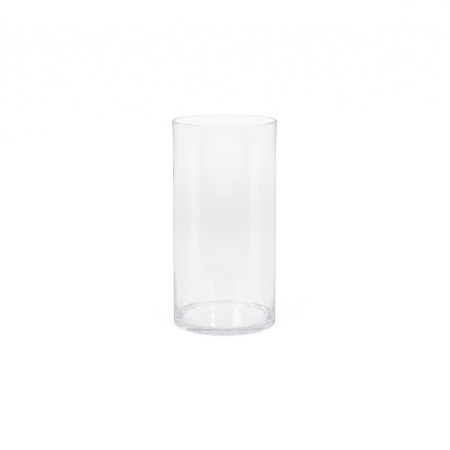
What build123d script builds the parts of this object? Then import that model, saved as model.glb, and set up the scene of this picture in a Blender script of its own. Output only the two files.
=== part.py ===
"""Glass cylinder vase: one piece of clear glass, 150 mm across and 300 mm tall.

The frame has +Z up the vase's axis and its origin at the middle of the foot, on the surface that
the vase stands on. Sizes are in millimetres and degrees. A vase like this is one gather of glass,
with no joint anywhere, so it is one solid: the section of its wall and base, drawn on the XZ plane
and turned about Z. In that section the first coordinate is the distance from the axis and the
second is the height.
"""

import os
from math import radians, sin

from build123d import *

# Outside
height = 300.0  # foot to the crest of the lip
body_radius = 75.0  # the straight outside wall, which a sleeve or ribbon goes round
foot_round = 2.0  # the outside edge between the wall and the foot

# Wall
wall = 3.2  # glass of the straight wall, whose full round at the top is the lip

# Base
base = 10.0  # height of the inside floor over the table
heel_sweep = 1200.0  # radius of the long inside curve by which the wall begins to thicken
sweep_lean = 2.8  # how far the wall leans in where that curve ends
heel_curve = 260.0  # radius of the tighter curve below it
heel_lean = 8.0  # how far the wall leans in where the corner begins
heel_corner = 4.5  # radius of the inside corner between the wall and the floor
foot_ring = 7.0  # width of the flat ring that the vase stands on
kick_slope = 4.0  # width of the slope from that ring up to the hollow of the underside
kick_depth = 0.8  # height of that hollow over the table

# Radii and heights that follow from those sizes
lip_round = wall / 2
lip_start = height - lip_round
inside_radius = body_radius - wall
corner_top = base + heel_corner * (1 - sin(radians(heel_lean)))
curve_top = corner_top + heel_curve * (sin(radians(heel_lean)) - sin(radians(sweep_lean)))
heel_top = curve_top + heel_sweep * sin(radians(sweep_lean))
curve_turn = heel_lean - sweep_lean
corner_turn = 90.0 - heel_lean
ring_outer = body_radius - foot_round
ring_inner = ring_outer - foot_ring
kick_radius = ring_inner - kick_slope

with BuildPart() as vase:
    with BuildSketch(Plane.XZ):
        with BuildLine():
            # Underside: the kicked-up hollow, its slope and the flat ring round it
            hollow = Line((0, kick_depth), (kick_radius, kick_depth))
            slope = Line(hollow @ 1, (ring_inner, 0))
            ring = Line(slope @ 1, (ring_outer, 0))

            # Outside: the rounded edge of the foot, then the wall straight up to the lip
            foot_edge = TangentArc(ring @ 1, (body_radius, foot_round), tangent=ring % 1)
            outside_wall = Line(foot_edge @ 1, (body_radius, lip_start))

            # Fire-polished lip: a full round from the outside wall over to the inside wall
            lip = ThreePointArc(
                outside_wall @ 1,
                (body_radius - lip_round, height),
                (inside_radius, lip_start),
            )
            inside_wall = Line(lip @ 1, (inside_radius, heel_top))

            # Heel: a long sweep inwards, a tighter curve, the corner, and the floor to the axis
            sweep_in = JernArc(inside_wall @ 1, inside_wall % 1, heel_sweep, -sweep_lean)
            curve_in = JernArc(sweep_in @ 1, sweep_in % 1, heel_curve, -curve_turn)
            corner = JernArc(curve_in @ 1, curve_in % 1, heel_corner, -corner_turn)
            floor = Line(corner @ 1, (0, base))
            Line(floor @ 1, hollow @ 0)
        make_face()
    revolve(axis=Axis.Z)

vase.part.label = "vase"

os.makedirs("parts", exist_ok=True)
export_step(vase.part, "parts/vase.step")
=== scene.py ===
"""Glass cylinder vase: the clear glass, the plain studio round it and the camera.

Everything is in metres in the part's own frame, with +Z up the vase's axis and the origin at the
middle of its foot. The height and radius come from the CAD solid, and the thickness of the glass
from the sizes below. The vase is one piece of glass, so it is one piece here too.
"""

import math

import bpy
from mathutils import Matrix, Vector


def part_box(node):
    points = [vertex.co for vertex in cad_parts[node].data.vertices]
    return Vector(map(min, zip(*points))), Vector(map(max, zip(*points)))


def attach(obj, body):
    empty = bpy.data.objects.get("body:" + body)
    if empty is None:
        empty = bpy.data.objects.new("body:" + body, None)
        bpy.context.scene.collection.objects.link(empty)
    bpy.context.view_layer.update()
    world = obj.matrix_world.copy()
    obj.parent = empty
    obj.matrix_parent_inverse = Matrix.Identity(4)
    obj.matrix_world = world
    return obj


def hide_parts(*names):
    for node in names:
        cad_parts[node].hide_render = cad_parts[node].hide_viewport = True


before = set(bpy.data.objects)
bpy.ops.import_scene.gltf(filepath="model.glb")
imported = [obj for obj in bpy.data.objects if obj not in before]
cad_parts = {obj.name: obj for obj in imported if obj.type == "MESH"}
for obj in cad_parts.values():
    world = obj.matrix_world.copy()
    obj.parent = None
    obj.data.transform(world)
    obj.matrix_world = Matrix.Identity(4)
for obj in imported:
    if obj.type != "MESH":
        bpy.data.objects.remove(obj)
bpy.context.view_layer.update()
LOWEST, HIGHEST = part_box("vase")

bl_info = {
    "name": "Glass Cylinder Vase",
    "version": (1, 0, 0),
    "blender": (4, 5, 0),
    "location": "View3D > Sidebar > Vase",
    "description": "Makes a clear glass cylinder vase and the plain studio it stands in",
    "category": "Add Mesh",
}


# ---------------------------------------------------------------------------------------------
# Sizes, finish and light
# ---------------------------------------------------------------------------------------------


def length(name, description, default):
    """A size in metres."""
    return bpy.props.FloatProperty(
        name=name, description=description, default=default, min=0.0, unit="LENGTH"
    )


def angle(name, description, default):
    """An angle, given in degrees and kept in radians."""
    return bpy.props.FloatProperty(
        name=name, description=description, default=math.radians(default), subtype="ANGLE"
    )


def share(name, description, default, most=1.0):
    """A plain number from 0 up to most."""
    return bpy.props.FloatProperty(
        name=name, description=description, default=default, min=0.0, max=most
    )


def colour(name, description, default):
    """A colour, or a brightness where its three numbers are near each other."""
    return bpy.props.FloatVectorProperty(
        name=name, description=description, default=default, subtype="COLOR", min=0.0, max=4.0
    )


class VaseSizes(bpy.types.PropertyGroup):
    """Sizes of the glass, as a section through the axis shows them"""

    height: length("Height", "Foot to the crest of the lip", round(HIGHEST.z, 4))
    radius: length("Radius", "The straight outside wall", round(HIGHEST.x, 4))
    foot_round: length("Foot round", "Outside edge between the wall and the foot", 0.002)
    wall: length("Wall", "Glass of the straight wall, whose full round is the lip", 0.0032)
    straight: length("Straight", "How high the wall is true, before it draws in a little", 0.150)
    neck_height: length("Neck height", "Height of the narrowest place, below the lip", 0.265)
    neck_in: length("Neck in", "How far the blown wall draws in there", 0.0009)
    base: length("Base", "Height of the inside floor over the table", 0.010)
    heel_sweep: length("Heel sweep", "Radius of the long curve that thickens the wall", 1.2)
    sweep_lean: angle("Sweep lean", "How far the wall leans in where that curve ends", 2.8)
    heel_curve: length("Heel curve", "Radius of the tighter curve below it", 0.26)
    heel_lean: angle("Heel lean", "How far the wall leans in where the corner begins", 8.0)
    heel_corner: length("Heel corner", "Inside corner between the wall and the floor", 0.0045)
    foot_ring: length("Foot ring", "Width of the flat ring that the vase stands on", 0.007)
    kick_slope: length("Kick slope", "Width of the slope from the ring to the hollow", 0.004)
    kick_depth: length("Kick depth", "Height of the hollow under the base", 0.0008)
    turns: bpy.props.IntProperty(
        name="Turns", description="Faces round the vase", default=360, min=24, max=720
    )
    waver: length("Waver", "How far the blown wall strays from true", 0.00012)
    waver_length: length("Waver length", "Distance between its high places", 0.055)
    waver_drawn: share("Waver drawn", "How fast it changes upwards, against round the wall", 0.45)
    seed: bpy.props.IntProperty(
        name="Seed", description="Which of its random shapes the wall takes", default=4
    )


class GlassFinish(bpy.types.PropertyGroup):
    """Colour and surface of the glass"""

    clear: colour("Clear", "The glass where it is thin", (0.997, 0.998, 1.0))
    depth: colour("Depth", "Tint that thick glass takes", (0.935, 0.931, 0.944))
    depth_strength: share("Depth strength", "How fast that tint builds up, per metre", 18.0, 200.0)
    evenness: share("Evenness", "How even the clear colour is, where 1 is quite even", 0.992)
    bend: share("Index of refraction", "Soda-lime glass", 1.52, 2.0)
    roughness: share("Roughness", "Greatest roughness of its cloudy polish", 0.012)
    clouds: share("Clouds", "How many cloudy places to the metre", 24.0, 200.0)
    ream: share("Ream", "How strongly the faint cords in the glass show", 0.05)
    cords: share("Cords", "How many cords to the metre", 85.0, 500.0)
    cord_height: length("Cord height", "How far the cords stand out", 0.0005)
    drawn: share("Drawn", "How fast both change upwards, against round the wall", 0.12)


class StudioLight(bpy.types.PropertyGroup):
    """Brightness of the studio, where 1 is white, and where on the floor it changes"""

    # To the eye
    backdrop: colour("Backdrop", "Floor and surroundings behind everything", (1.0, 1.0, 1.0))
    floor_paint: colour("Floor paint", "The floor's own pale colour", (0.80, 0.80, 0.80))
    paint_evenness: share("Paint evenness", "How even it is, where 1 is quite even", 0.985)
    room: colour("Room", "Plain light from all round", (0.95, 0.95, 0.96))
    shadow: share("Shadow", "How much of the vase's shadow the floor shows", 0.10)

    # The two strip lamps, which are upright softboxes in front of the vase
    strip: share("Strip lamps", "Brightness of both", 3.5, 50.0)
    strip_height: length("Strip height", "Height of both", 1.1)
    strip_away: length("Strip distance", "How far both stand from the foot", 1.7)
    strip_rise: angle("Strip rise", "How far up both stand, seen from the foot", 32.0)
    left_round: angle("Left lamp", "How far round to the left it stands", 33.0)
    left_width: length("Left width", "Width of the left lamp", 0.60)
    right_round: angle("Right lamp", "How far round to the right it stands", 32.0)
    right_width: length("Right width", "Width of the right lamp", 0.32)

    # Cast of what the glass shows
    tint: colour("Tint", "Cast of the floor and room in the glass", (0.996, 1.0, 1.012))
    near_tint: colour("Tint by the foot", "The same for the floor round the foot", (1.0, 1.0, 1.0))

    # Through the glass: the floor's painted pool of light and painted shade, and the room above
    near: share("Near", "Floor inside the pool of light", 0.910)
    past_pool: share("Past the pool", "Floor just outside the pool of light", 0.884)
    distance: share("Distance", "Far floor and horizon", 0.953)
    ceiling: share("Ceiling", "Darker room above the backdrop", 0.72)
    overhead: share("Overhead", "Lit ceiling straight above the vase", 0.95)
    # Painted shade round the foot and in front of the vase, and painted lamp light on the floor
    # past that
    painted_contact_shade: share("Contact", "Floor in the shade under and round the foot", 0.80)
    painted_foot_shade: share("Foot shade", "Deeper shade at both sides of the foot", 0.50)
    painted_front_shade: share("Front shade", "Floor in front of the vase, which lies in shade", 0.70)
    painted_front_light: share("Front open", "Lit floor in front of that", 0.86)

    # In the outer face of the glass, which mirrors more than it lets through near its edges: the
    # floor's painted light and shade as the glass mirrors it
    mirror_near: share("Mirrored near", "Floor close in front", 0.85)
    mirror_shade: share("Mirrored shade", "Floor in front that lies in shade", 0.55)
    mirror_dark: share("Mirrored dark", "Its darkest part, outside the pool of light", 0.25)
    mirror_open: share("Mirrored open", "Lit floor in front of that", 0.75)
    mirror_lit: share("Mirrored lit", "Floor beside the shade, which a strip lamp lights", 0.92)
    mirror_left: share("Mirrored left", "Floor to the left of the vase", 0.60)
    mirror_right: share("Mirrored right", "Floor to the right of the vase", 0.48)
    mirror_sides: share("Mirrored sides", "Both of those outside the pool of light", 0.38)
    mirror_behind: share("Mirrored behind", "Floor behind the vase", 0.64)
    # A painted dark stretch of floor past the backdrop's edge, standing in for a dark room
    mirror_painted_dark: share("Mirrored edge", "Dark room past the backdrop's edge", 0.15)
    # Painted glints of the two lamps on the matt floor, which only the glass shows
    painted_glint: share("Shine", "The two lamps in the polish of the floor", 1.6, 4.0)

    # Places on the floor where its light and shade are painted
    contact_in: length("Contact in", "How far in under the foot its shade starts", 0.0095)
    contact_out: length("Contact out", "How far out from the foot its shade ends", 0.015)
    deep_out: length("Deep out", "How far out from the foot the deeper shade starts", 0.0035)
    pool: length("Pool", "Radius of the pool of light", 0.65)
    clear_floor: length("Clear floor", "Where the floor behind is at its brightest again", 1.45)
    shade_start: length("Shade start", "How far in front of the vase the shade starts", 0.33)
    shade_end: length("Shade end", "How far in front of the vase it ends", 1.35)
    backdrop_edge: length("Backdrop edge", "Where the backdrop gives way to the dark room", 2.4)
    # Where the painted glint of each lamp lies on the floor, and its size
    shine_aside: length("Shine aside", "How far aside each lamp shines in the floor", 0.17)
    shine_ahead: length("Shine ahead", "How far ahead of the vase it does", 0.36)
    shine_radius: length("Shine radius", "Radius of each of those spots", 0.022)


# ---------------------------------------------------------------------------------------------
# Helpers
# ---------------------------------------------------------------------------------------------


def add_node(tree, kind, sockets=None, **settings):
    """Adds a node, with its settings, and sets each input or links it where a socket is given."""
    node = tree.nodes.new(kind)
    for name, value in settings.items():
        setattr(node, name, value)
    for name, value in (sockets or {}).items():
        if isinstance(value, bpy.types.NodeSocket):
            tree.links.new(value, node.inputs[name])
        else:
            node.inputs[name].default_value = value
    return node


def maths(tree, operation, *values):
    """One step of arithmetic on numbers or sockets, as a socket."""
    node = add_node(tree, "ShaderNodeMath", dict(enumerate(values)), operation=operation)
    return node.outputs[0]


def blend(tree, amount, first, second):
    """The first colour where amount is 0 and the second where it is 1, as a socket."""
    node = add_node(tree, "ShaderNodeMix", {0: amount}, data_type="RGBA")
    for place, value in ((6, first), (7, second)):
        if isinstance(value, bpy.types.NodeSocket):
            tree.links.new(value, node.inputs[place])
        else:
            node.inputs[place].default_value = (*value, 1.0)
    return node.outputs[2]


def change(tree, amount, first, second):
    """The first number where amount is 0 and the second where it is 1, as a socket."""
    sockets = {0: amount, 2: first, 3: second}
    return add_node(tree, "ShaderNodeMix", sockets, data_type="FLOAT").outputs[0]


def soft_step(tree, value, start, end):
    """A soft step from 0 to 1 as value goes from start to end, as a socket."""
    sockets = {"Value": value, "From Min": start, "From Max": end}
    node = add_node(tree, "ShaderNodeMapRange", sockets, interpolation_type="SMOOTHSTEP")
    return node.outputs["Result"]


def edge(tree, value, place, softness):
    """0 up to that place and 1 past it, soft that far to either side, as a socket."""
    return soft_step(tree, value, place - softness, place + softness)


def band(tree, value, start, end, softness):
    """1 from start to end and 0 outside them, each soft that far across, as a socket."""
    begun, ended = (edge(tree, value, place, softness / 2) for place in (start, end))
    return maths(tree, "SUBTRACT", begun, ended)


def new_material(name):
    """A node material that holds only its output."""
    material = bpy.data.materials.new(name)
    material.use_nodes = True
    tree = material.node_tree
    tree.nodes.clear()
    return material, tree, tree.nodes.new("ShaderNodeOutputMaterial")


# ---------------------------------------------------------------------------------------------
# The vase
# ---------------------------------------------------------------------------------------------


def straight(start, end, steps):
    """Points of the section from start to end, without the last."""
    return [tuple(Vector(start).lerp(Vector(end), i / steps)) for i in range(steps)]


def eased(start, end, steps, low=0.0, high=1.0):
    """Points between two places where r changes softly with z, without the last.

    The soft step runs from low to high, and half of it, from 0.5 to 1 or 0 to 0.5, is soft at one
    end only.
    """

    def soft(part):
        return part * part * (3 - 2 * part)

    points = []
    for i in range(steps):
        part = i / steps
        eased_part = (soft(low + (high - low) * part) - soft(low)) / (soft(high) - soft(low))
        r = start[0] + (end[0] - start[0]) * eased_part
        points.append((r, start[1] + (end[1] - start[1]) * part))
    return points


def arc(middle, radius, first, last, steps):
    """Points of an arc from angle first to angle last, in radians, without the last."""
    angles = [first + (last - first) * i / steps for i in range(steps)]
    return [(middle[0] + radius * math.cos(a), middle[1] + radius * math.sin(a)) for a in angles]


def section(s):
    """The wall and base as points (r, z), and how far each may waver, from 0 to 1.

    The points run out under the base, up the outside, over the lip, down the inside and back to
    the axis along the inside floor.
    """
    lip_round = s.wall / 2
    lip_start = s.height - lip_round
    inside = s.radius - s.wall
    neck = s.radius - s.neck_in
    ring_outer = s.radius - s.foot_round
    ring_inner = ring_outer - s.foot_ring
    hollow = ring_inner - s.kick_slope

    # Heights and middles of the heel's three arcs, each tangent to the one above it
    sweep_sine, sweep_cosine = math.sin(s.sweep_lean), math.cos(s.sweep_lean)
    heel_sine, heel_cosine = math.sin(s.heel_lean), math.cos(s.heel_lean)
    corner_top = s.base + s.heel_corner * (1 - heel_sine)
    curve_top = corner_top + s.heel_curve * (heel_sine - sweep_sine)
    heel_top = curve_top + s.heel_sweep * sweep_sine
    sweep_middle = (inside - s.heel_sweep, heel_top)
    reach = inside - s.heel_sweep * (1 - sweep_cosine)
    curve_middle = (reach - s.heel_curve * sweep_cosine, curve_top + s.heel_curve * sweep_sine)
    reach -= s.heel_curve * (sweep_cosine - heel_cosine)
    corner_middle = (reach - s.heel_corner * heel_cosine, s.base + s.heel_corner)
    quarter = math.pi / 2

    # Each run of points, whose count comes last in it, and how far that part may waver
    runs = [
        # Hollow of the underside, its slope, the ring the vase stands on and the edge of the foot
        (straight((0, s.kick_depth), (hollow, s.kick_depth), 14), 0.4),
        (straight((hollow, s.kick_depth), (ring_inner, 0), 14), 0.2),
        (straight((ring_inner, 0), (ring_outer, 0), 4), 0.0),
        (arc((ring_outer, s.foot_round), s.foot_round, -quarter, 0, 14), 0.3),
        # Outside wall: true, then in to the neck and out again to the lip
        (straight((s.radius, s.foot_round), (s.radius, s.straight), 28), 0.5),
        (eased((s.radius, s.straight), (neck, s.neck_height), 22), 0.5),
        (eased((neck, s.neck_height), (s.radius, lip_start), 12, 0.0, 0.5), 0.5),
        # Lip and inside wall
        (arc((s.radius - lip_round, lip_start), lip_round, 0, math.pi, 26), 0.3),
        (straight((inside, lip_start), (inside, heel_top), 40), 1.0),
        # Heel: the long sweep, the tighter curve and the corner, then the inside floor
        (arc(sweep_middle, s.heel_sweep, 0, -s.sweep_lean, 16), 1.0),
        (arc(curve_middle, s.heel_curve, -s.sweep_lean, -s.heel_lean, 14), 1.0),
        (arc(corner_middle, s.heel_corner, -s.heel_lean, -quarter, 20), 0.8),
        (straight((corner_middle[0], s.base), (0, s.base), 24), 1.0),
    ]
    points = [(r, z, waver) for run, waver in runs for r, z in run]
    return points + [(0.0, s.base, 1.0)]


def sample_section(tree, given, value, column, kind):
    """What each point of the grid takes from its own point of the section, as a socket."""
    node = add_node(
        tree,
        "GeometryNodeSampleIndex",
        {"Geometry": given["Section"], "Value": value, "Index": column},
        data_type=kind,
        clamp=True,
    )
    return node.outputs[0]


def named_number(tree, name):
    """A number that the points keep under that name, as a socket."""
    node = add_node(tree, "GeometryNodeInputNamedAttribute", {"Name": name}, data_type="FLOAT")
    return node.outputs[0]


def turned_section(tree, given):
    """The section turned once round Z into a closed skin whose faces point outwards."""
    # A grid with one row of points for each angle and one column for each point of the section
    count = add_node(tree, "GeometryNodeAttributeDomainSize", {"Geometry": given["Section"]})
    rows = maths(tree, "ADD", given["Turns"], 1)
    grid = add_node(
        tree,
        "GeometryNodeMeshGrid",
        {"Vertices X": count.outputs["Point Count"], "Vertices Y": rows},
    )
    index = add_node(tree, "GeometryNodeInputIndex").outputs[0]
    column = maths(tree, "FLOOR", maths(tree, "DIVIDE", maths(tree, "ADD", index, 0.5), rows))
    row = maths(tree, "SUBTRACT", index, maths(tree, "MULTIPLY", column, rows))
    turn = maths(tree, "MULTIPLY", maths(tree, "DIVIDE", row, given["Turns"]), math.tau)

    # Each point of the section goes round at its own radius, and keeps its freedom to waver
    place = add_node(tree, "GeometryNodeInputPosition").outputs[0]
    on_section = sample_section(tree, given, place, column, "FLOAT_VECTOR")
    flat = add_node(tree, "ShaderNodeSeparateXYZ", {0: on_section}).outputs
    turned = add_node(
        tree,
        "ShaderNodeCombineXYZ",
        {
            "X": maths(tree, "MULTIPLY", flat["X"], maths(tree, "COSINE", turn)),
            "Y": maths(tree, "MULTIPLY", flat["X"], maths(tree, "SINE", turn)),
            "Z": flat["Z"],
        },
    )
    freedom = named_number(tree, "freedom")
    free_here = sample_section(tree, given, freedom, column, "FLOAT")
    kept = add_node(
        tree,
        "GeometryNodeStoreNamedAttribute",
        {"Geometry": grid.outputs["Mesh"], "Name": "freedom", "Value": free_here},
        data_type="FLOAT",
        domain="POINT",
    )
    round_z = add_node(
        tree,
        "GeometryNodeSetPosition",
        {"Geometry": kept.outputs[0], "Position": turned.outputs[0]},
    )

    # The seam and both poles close, as points this near each other become one
    same_point = 1e-6
    closed = add_node(
        tree,
        "GeometryNodeMergeByDistance",
        {"Geometry": round_z.outputs[0], "Distance": same_point},
    )
    return add_node(tree, "GeometryNodeFlipFaces", {"Mesh": closed.outputs[0]}).outputs[0]


def wavered_wall(tree, given, skin):
    """The skin moved in and out in long upright waves, as a blown wall strays."""
    # Noise lies about a quarter to either side of a half, and this makes it one to either side
    noise_middle, noise_gain = 0.5, 4.0
    place = add_node(tree, "GeometryNodeInputPosition").outputs[0]
    drawn = add_node(tree, "ShaderNodeCombineXYZ", {"X": 1.0, "Y": 1.0, "Z": given["Waver Drawn"]})
    stretch = add_node(
        tree, "ShaderNodeVectorMath", {0: place, 1: drawn.outputs[0]}, operation="MULTIPLY"
    )
    waves = add_node(
        tree,
        "ShaderNodeTexNoise",
        {
            "Vector": stretch.outputs[0],
            "W": given["Seed"],
            "Scale": maths(tree, "DIVIDE", 1.0, given["Waver Length"]),
            "Detail": 1.0,
            "Roughness": 0.4,
        },
        noise_dimensions="4D",
    )
    centred = maths(tree, "SUBTRACT", waves.outputs[0], noise_middle)
    swing = maths(tree, "MULTIPLY", centred, noise_gain)
    reach = maths(tree, "MULTIPLY", swing, given["Waver"])
    stray = add_node(
        tree,
        "ShaderNodeVectorMath",
        {
            0: add_node(tree, "GeometryNodeInputNormal").outputs[0],
            "Scale": maths(tree, "MULTIPLY", reach, named_number(tree, "freedom")),
        },
        operation="SCALE",
    )
    moved = {"Geometry": skin, "Offset": stray.outputs[0]}
    return add_node(tree, "GeometryNodeSetPosition", moved).outputs[0]


def vase_tree():
    """The tree that turns a section round Z and lets the blown wall waver."""
    tree = bpy.data.node_groups.new("Turned Glass", "GeometryNodeTree")
    for name, kind in (
        ("Section", "NodeSocketGeometry"),
        ("Turns", "NodeSocketInt"),
        ("Waver", "NodeSocketFloat"),
        ("Waver Length", "NodeSocketFloat"),
        ("Waver Drawn", "NodeSocketFloat"),
        ("Seed", "NodeSocketInt"),
        ("Glass", "NodeSocketMaterial"),
    ):
        tree.interface.new_socket(name, in_out="INPUT", socket_type=kind)
    tree.interface.new_socket("Vase", in_out="OUTPUT", socket_type="NodeSocketGeometry")
    given = tree.nodes.new("NodeGroupInput").outputs
    wall = wavered_wall(tree, given, turned_section(tree, given))
    smooth = add_node(tree, "GeometryNodeSetShadeSmooth", {"Geometry": wall})
    real = add_node(tree, "GeometryNodeRealizeInstances", {"Geometry": smooth.outputs[0]})
    coated = add_node(
        tree,
        "GeometryNodeSetMaterial",
        {"Geometry": real.outputs[0], "Material": given["Glass"]},
    )
    add_node(tree, "NodeGroupOutput", {0: coated.outputs[0]})
    return tree


def clear_glass(finish):
    """Clear glass: near colourless when thin and cool grey when thick."""
    material, tree, output = new_material("Clear Glass")

    # Cloudy places in the polish and faint cords in the glass, drawn out upwards as it was blown
    place = add_node(tree, "ShaderNodeTexCoord").outputs["Object"]
    drawn = {"Vector": place, "Scale": (1.0, 1.0, finish.drawn)}
    upright = add_node(tree, "ShaderNodeMapping", drawn).outputs[0]
    cloud = add_node(
        tree,
        "ShaderNodeTexNoise",
        {"Vector": upright, "Scale": finish.clouds, "Detail": 2.0, "Roughness": 0.5},
    ).outputs[0]
    cords = add_node(
        tree,
        "ShaderNodeTexNoise",
        {"Vector": upright, "Scale": finish.cords, "Detail": 3.0, "Roughness": 0.45},
    ).outputs[0]
    ream = add_node(
        tree,
        "ShaderNodeBump",
        {"Strength": finish.ream, "Distance": finish.cord_height, "Height": cords},
    )

    tint = tuple(finish.clear)
    duller = tuple(c * finish.evenness for c in tint)
    glass = add_node(
        tree,
        "ShaderNodeBsdfPrincipled",
        {
            "Base Color": blend(tree, cloud, duller, tint),
            "Roughness": maths(tree, "MULTIPLY", cloud, finish.roughness),
            "IOR": finish.bend,
            "Transmission Weight": 1.0,
            "Normal": ream.outputs[0],
        },
    )
    deep = add_node(
        tree,
        "ShaderNodeVolumeAbsorption",
        {"Color": (*finish.depth, 1.0), "Density": finish.depth_strength},
    )
    tree.links.new(glass.outputs[0], output.inputs["Surface"])
    tree.links.new(deep.outputs[0], output.inputs["Volume"])
    return material


def section_mesh(sizes):
    """The section as loose points on the XZ plane, each with its freedom to waver."""
    points = section(sizes)
    mesh = bpy.data.meshes.new("vase section")
    mesh.from_pydata([(r, 0.0, z) for r, z, _ in points], [], [])
    freedom = mesh.attributes.new("freedom", "FLOAT", "POINT")
    freedom.data.foreach_set("value", [waver for _, _, waver in points])
    return mesh


def set_input(modifier, tree, name, value):
    """Sets a named input of a Geometry Nodes modifier."""
    for item in tree.interface.items_tree:
        if item.item_type == "SOCKET" and item.in_out == "INPUT" and item.name == name:
            modifier[item.identifier] = value
            return
    raise RuntimeError(f"the tree has no input named {name}")


def make_vase(sizes, finish):
    """Turns the section, makes it a plain mesh and lets it stand for the CAD solid."""
    maker = bpy.data.objects.new("vase maker", section_mesh(sizes))
    bpy.context.scene.collection.objects.link(maker)
    tree = vase_tree()
    modifier = maker.modifiers.new("Turned Glass", "NODES")
    modifier.node_group = tree
    for name, value in (
        ("Turns", sizes.turns),
        ("Waver", sizes.waver),
        ("Waver Length", sizes.waver_length),
        ("Waver Drawn", sizes.waver_drawn),
        ("Seed", sizes.seed),
        ("Glass", clear_glass(finish)),
    ):
        set_input(modifier, tree, name, value)
    bpy.context.view_layer.update()
    graph = bpy.context.evaluated_depsgraph_get()
    mesh = bpy.data.meshes.new_from_object(maker.evaluated_get(graph))
    bpy.data.objects.remove(maker)
    mesh.attributes.remove(mesh.attributes["freedom"])
    mesh.name = "vase_glass"
    vase = bpy.data.objects.new("vase_glass", mesh)
    bpy.context.scene.collection.objects.link(vase)
    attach(vase, "root")
    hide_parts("vase")


# ---------------------------------------------------------------------------------------------
# The studio
# ---------------------------------------------------------------------------------------------


def ray_kinds(tree):
    """What looks at the stage: the camera, a reflection, or light that came through glass."""
    path = add_node(tree, "ShaderNodeLightPath").outputs
    through = path["Is Transmission Ray"]
    mirrored = maths(tree, "MULTIPLY", path["Is Glossy Ray"], maths(tree, "SUBTRACT", 1, through))
    return path["Is Camera Ray"], mirrored, through


def turned_back(tree, mask):
    """The mask, but only for light that some face has turned back on its way."""
    path = add_node(tree, "ShaderNodeLightPath").outputs
    return maths(tree, "MULTIPLY", mask, maths(tree, "MINIMUM", path["Glossy Depth"], 1))


def painted_light_places(tree, light):
    """The place on the floor, and as masks the parts of it where light and shade are painted.

    Here ahead is 1 straight in front of the vase and -1 straight behind it, and aside is 1 to
    either side.
    """
    place = add_node(tree, "ShaderNodeTexCoord").outputs["Object"]
    at = add_node(tree, "ShaderNodeSeparateXYZ", {0: place}).outputs
    away = add_node(tree, "ShaderNodeVectorMath", {0: place}, operation="LENGTH").outputs["Value"]
    left_right = maths(tree, "ABSOLUTE", at["X"])
    in_front = maths(tree, "MULTIPLY", at["Y"], -1)
    ahead = maths(tree, "DIVIDE", in_front, away)
    aside = maths(tree, "DIVIDE", left_right, away)

    # The painted shade round the foot, which is deeper at both its sides
    foot = HIGHEST.x
    shade_ends = foot + light.contact_out
    contact_soft, deep_soft = 0.008, 0.004
    painted_contact_shade = band(tree, away, foot - light.contact_in, shade_ends, contact_soft)
    deep = band(tree, away, foot + light.deep_out, shade_ends, deep_soft)

    # How far it is to the nearer lamp's painted glint on the floor
    folded = add_node(tree, "ShaderNodeCombineXYZ", {"X": left_right, "Y": in_front}).outputs[0]
    shine_place = (light.shine_aside, light.shine_ahead, 0.0)
    to_shine = add_node(
        tree, "ShaderNodeVectorMath", {0: folded, 1: shine_place}, operation="DISTANCE"
    ).outputs["Value"]

    # How soft each edge is, to either side of it or from its inner end to its outer end
    pool_soft, shade_soft, open_soft, middle_soft = 0.05, 0.02, 0.20, 0.01
    pool_rim, backdrop_fade = 0.07, 0.9
    past_foot = (0.10, 0.25)
    past_pool = (light.pool - pool_soft, light.pool + pool_soft)
    clear = (light.pool + pool_rim, light.clear_floor)
    past_backdrop = (light.backdrop_edge - backdrop_fade, light.backdrop_edge)
    painted_glint = (light.shine_radius, light.shine_radius / 2)

    # Where each direction from the vase begins and where it is whole, as aside or ahead has it
    foot_sides, beside, sides, behind = (0.50, 0.70), (0.60, 0.52), (0.30, 0.10), (-0.30, -0.60)
    return place, {
        "painted_contact_shade": painted_contact_shade,
        "painted_foot_shade": maths(tree, "MULTIPLY", deep, soft_step(tree, aside, *foot_sides)),
        "past_foot": soft_step(tree, away, *past_foot),
        "past_pool": soft_step(tree, away, *past_pool),
        "clear": soft_step(tree, away, *clear),
        "shade": edge(tree, in_front, light.shade_start, shade_soft),
        "open": edge(tree, in_front, light.shade_end, open_soft),
        "beside": soft_step(tree, ahead, *beside),
        "sides": soft_step(tree, ahead, *sides),
        "behind": soft_step(tree, ahead, *behind),
        "right": edge(tree, at["X"], 0.0, middle_soft),
        "past_backdrop": soft_step(tree, away, *past_backdrop),
        "painted_glint": soft_step(tree, to_shine, *painted_glint),
    }


def painted_floor_through_glass(tree, light, there):
    """How bright the floor is painted for light that has come through the glass: a painted pool of
    light, painted shade round the foot and in front, and painted lamp glints.

    The painted shade in front, and the lamps' painted glints in it, show only where a face of the
    glass turns the light back to them.
    """
    level = change(tree, there["past_pool"], light.near, light.past_pool)
    level = change(tree, there["clear"], level, light.distance)
    level = change(tree, there["painted_contact_shade"], level, light.painted_contact_shade)
    level = change(tree, there["painted_foot_shade"], level, light.painted_foot_shade)
    in_front = change(tree, there["open"], light.painted_front_shade, light.painted_front_light)
    level = change(tree, turned_back(tree, there["shade"]), level, in_front)
    return change(tree, turned_back(tree, there["painted_glint"]), level, light.painted_glint)


def painted_floor_mirrored(tree, light, there):
    """How bright the floor's painted light and shade are in the outer face of the glass."""
    level = change(tree, there["shade"], light.mirror_near, light.mirror_shade)
    level = change(tree, there["past_pool"], level, light.mirror_dark)
    level = change(tree, there["open"], level, light.mirror_open)
    level = change(tree, there["beside"], level, light.mirror_lit)
    sides = change(tree, there["right"], light.mirror_left, light.mirror_right)
    sides = change(tree, there["past_pool"], sides, light.mirror_sides)
    level = change(tree, there["sides"], level, sides)
    level = change(tree, there["painted_glint"], level, light.painted_glint)
    behind = change(tree, there["past_backdrop"], light.mirror_behind, light.mirror_painted_dark)
    return change(tree, there["behind"], level, behind)


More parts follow.
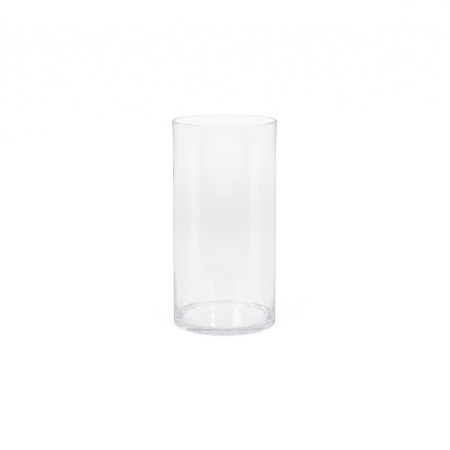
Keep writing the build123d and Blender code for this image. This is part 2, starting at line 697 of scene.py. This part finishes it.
def floor_material(light):
    """Pale floor: white to the eye, with the vase's faint shadow, and with graded light and shade
    painted on it that only the glass shows.
    """
    material, tree, output = new_material("Pale Floor")
    seen, mirrored, through = ray_kinds(tree)
    place, there = painted_light_places(tree, light)
    grain = add_node(
        tree, "ShaderNodeTexNoise", {"Vector": place, "Scale": 60.0, "Detail": 3.0}
    ).outputs[0]
    paint = tuple(light.floor_paint)
    tone = blend(tree, grain, tuple(c * light.paint_evenness for c in paint), paint)
    matt = add_node(tree, "ShaderNodeBsdfDiffuse", {"Color": tone})

    # To the eye the floor is white but for part of the shadow that falls on its paint
    kept = 1 - light.shadow
    white = tuple((c - light.shadow * p) / kept for c, p in zip(light.backdrop, paint))
    # Light and shade painted on the floor for the glass alone, as the glow's strength
    level = painted_floor_through_glass(tree, light, there)
    level = change(tree, mirrored, level, painted_floor_mirrored(tree, light, there))
    cast = blend(tree, there["past_foot"], tuple(light.near_tint), tuple(light.tint))
    glow = add_node(
        tree,
        "ShaderNodeEmission",
        {
            "Color": blend(tree, seen, cast, white),
            "Strength": change(tree, seen, level, 1.0),
        },
    )
    flat = maths(tree, "MAXIMUM", mirrored, through)
    flat = maths(tree, "MAXIMUM", flat, maths(tree, "MULTIPLY", seen, kept))
    shares = {0: flat, 1: matt.outputs[0], 2: glow.outputs[0]}
    surface = add_node(tree, "ShaderNodeMixShader", shares)
    tree.links.new(surface.outputs[0], output.inputs["Surface"])
    return material


def make_floor(light):
    """A wide floor, a hair under the foot so that glass and floor never share a face."""
    mesh = bpy.data.meshes.new("floor")
    reach, level = 12.0, -0.0002
    corners = [(-reach, -reach), (reach, -reach), (reach, reach), (-reach, reach)]
    mesh.from_pydata([(x, y, level) for x, y in corners], [], [(0, 1, 2, 3)])
    mesh.materials.append(floor_material(light))
    floor = bpy.data.objects.new("floor", mesh)
    bpy.context.scene.collection.objects.link(floor)


def make_room(light):
    """The surroundings: white to the eye, plain light for surfaces, and graded in the glass.

    In the glass the room darkens from the horizon up and is lit again straight overhead.
    """
    world = bpy.data.worlds.new("Plain Room")
    world.use_nodes = True
    tree = world.node_tree
    tree.nodes.clear()
    seen, mirrored, through = ray_kinds(tree)
    toward = add_node(tree, "ShaderNodeTexCoord").outputs["Generated"]
    rise = add_node(tree, "ShaderNodeSeparateXYZ", {0: toward}).outputs["Z"]
    horizon, ceiling, overhead = (
        tuple(level * c for c in light.tint)
        for level in (light.distance, light.ceiling, light.overhead)
    )

    # How steeply up each of the two begins, where 1 is straight up, and where it is whole
    to_ceiling, to_overhead = (0.12, 0.50), (0.62, 0.85)
    in_glass = blend(tree, soft_step(tree, rise, *to_ceiling), horizon, ceiling)
    in_glass = blend(tree, soft_step(tree, rise, *to_overhead), in_glass, overhead)
    level = blend(tree, maths(tree, "MAXIMUM", mirrored, through), tuple(light.room), in_glass)
    level = blend(tree, seen, level, tuple(light.backdrop))
    glow = add_node(tree, "ShaderNodeBackground", {"Color": level, "Strength": 1.0})
    output = tree.nodes.new("ShaderNodeOutputWorld")
    tree.links.new(glow.outputs[0], output.inputs["Surface"])
    bpy.context.scene.world = world


def make_lamp(name, place, aim, size, brightness):
    """A softbox of that width and height, whose face is that bright."""
    lamp = bpy.data.lights.new(name, "AREA")
    lamp.shape = "RECTANGLE"
    lamp.size, lamp.size_y = size
    lamp.energy = brightness * math.pi * size[0] * size[1]
    holder = bpy.data.objects.new(name, lamp)
    holder.location = place
    holder.rotation_euler = (Vector(aim) - Vector(place)).to_track_quat("-Z", "Y").to_euler()
    holder.visible_camera = False
    bpy.context.scene.collection.objects.link(holder)


def around(turn, rise, distance):
    """A place that far round from straight ahead, that far up and that far from the foot."""
    flat = distance * math.cos(rise)
    return Vector((flat * math.sin(turn), -flat * math.cos(turn), distance * math.sin(rise)))


def make_lamps(light):
    """Two upright strips in front of the vase, the left one the wider."""
    aim = Vector((0, 0, HIGHEST.z / 2))
    for side, turn, width in (
        ("left", -light.left_round, light.left_width),
        ("right", light.right_round, light.right_width),
    ):
        place = around(turn, light.strip_rise, light.strip_away)
        size = (width, light.strip_height)
        make_lamp(f"strip lamp {side}", place, aim, size, light.strip)


def make_camera():
    """A long lens, a little above the vase and level with its axis."""
    place, below_level = (0.0006, -1.791, 0.510), 11.48
    data = bpy.data.cameras.new("camera")
    data.lens, data.sensor_width = 100.3, 36.0
    camera = bpy.data.objects.new("camera", data)
    camera.location = place
    camera.rotation_euler = (math.radians(90 - below_level), 0, 0)
    bpy.context.scene.collection.objects.link(camera)
    bpy.context.scene.camera = camera


# ---------------------------------------------------------------------------------------------
# The add-on
# ---------------------------------------------------------------------------------------------


class VASE_OT_glass(bpy.types.Operator):
    """Make the glass vase in place of its CAD solid"""

    bl_idname = "vase.glass"
    bl_label = "Glass Vase"

    def execute(self, context):
        make_vase(context.scene.vase_sizes, context.scene.vase_glass)
        return {"FINISHED"}


class VASE_OT_studio(bpy.types.Operator):
    """Make the floor, the room, the lamps and the camera"""

    bl_idname = "vase.studio"
    bl_label = "Plain Studio"

    def execute(self, context):
        light = context.scene.vase_light
        make_floor(light)
        make_room(light)
        make_lamps(light)
        make_camera()
        # Light runs round inside thick glass many times before it leaves
        bounces = 128
        for limit in ("max_bounces", "transmission_bounces", "glossy_bounces"):
            setattr(context.scene.cycles, limit, bounces)
        return {"FINISHED"}


class VASE_PT_sidebar(bpy.types.Panel):
    """Sizes, finish and light of the vase, and the buttons that make it"""

    bl_idname = "VASE_PT_sidebar"
    bl_label = "Glass Vase"
    bl_space_type = "VIEW_3D"
    bl_region_type = "UI"
    bl_category = "Vase"

    def draw(self, context):
        for group, operator in (
            (context.scene.vase_sizes, VASE_OT_glass),
            (context.scene.vase_glass, None),
            (context.scene.vase_light, VASE_OT_studio),
        ):
            column = self.layout.column()
            for name in group.__annotations__:
                column.prop(group, name)
            if operator:
                column.operator(operator.bl_idname)


CLASSES = (VaseSizes, GlassFinish, StudioLight, VASE_OT_glass, VASE_OT_studio, VASE_PT_sidebar)


def register():
    for cls in CLASSES:
        bpy.utils.register_class(cls)
    bpy.types.Scene.vase_sizes = bpy.props.PointerProperty(type=VaseSizes)
    bpy.types.Scene.vase_glass = bpy.props.PointerProperty(type=GlassFinish)
    bpy.types.Scene.vase_light = bpy.props.PointerProperty(type=StudioLight)


def unregister():
    del bpy.types.Scene.vase_light
    del bpy.types.Scene.vase_glass
    del bpy.types.Scene.vase_sizes
    for cls in reversed(CLASSES):
        bpy.utils.unregister_class(cls)


def main():
    register()
    bpy.context.scene.view_settings.view_transform = "Standard"
    bpy.ops.vase.glass()
    bpy.ops.vase.studio()


if __name__ == "__main__":
    main()
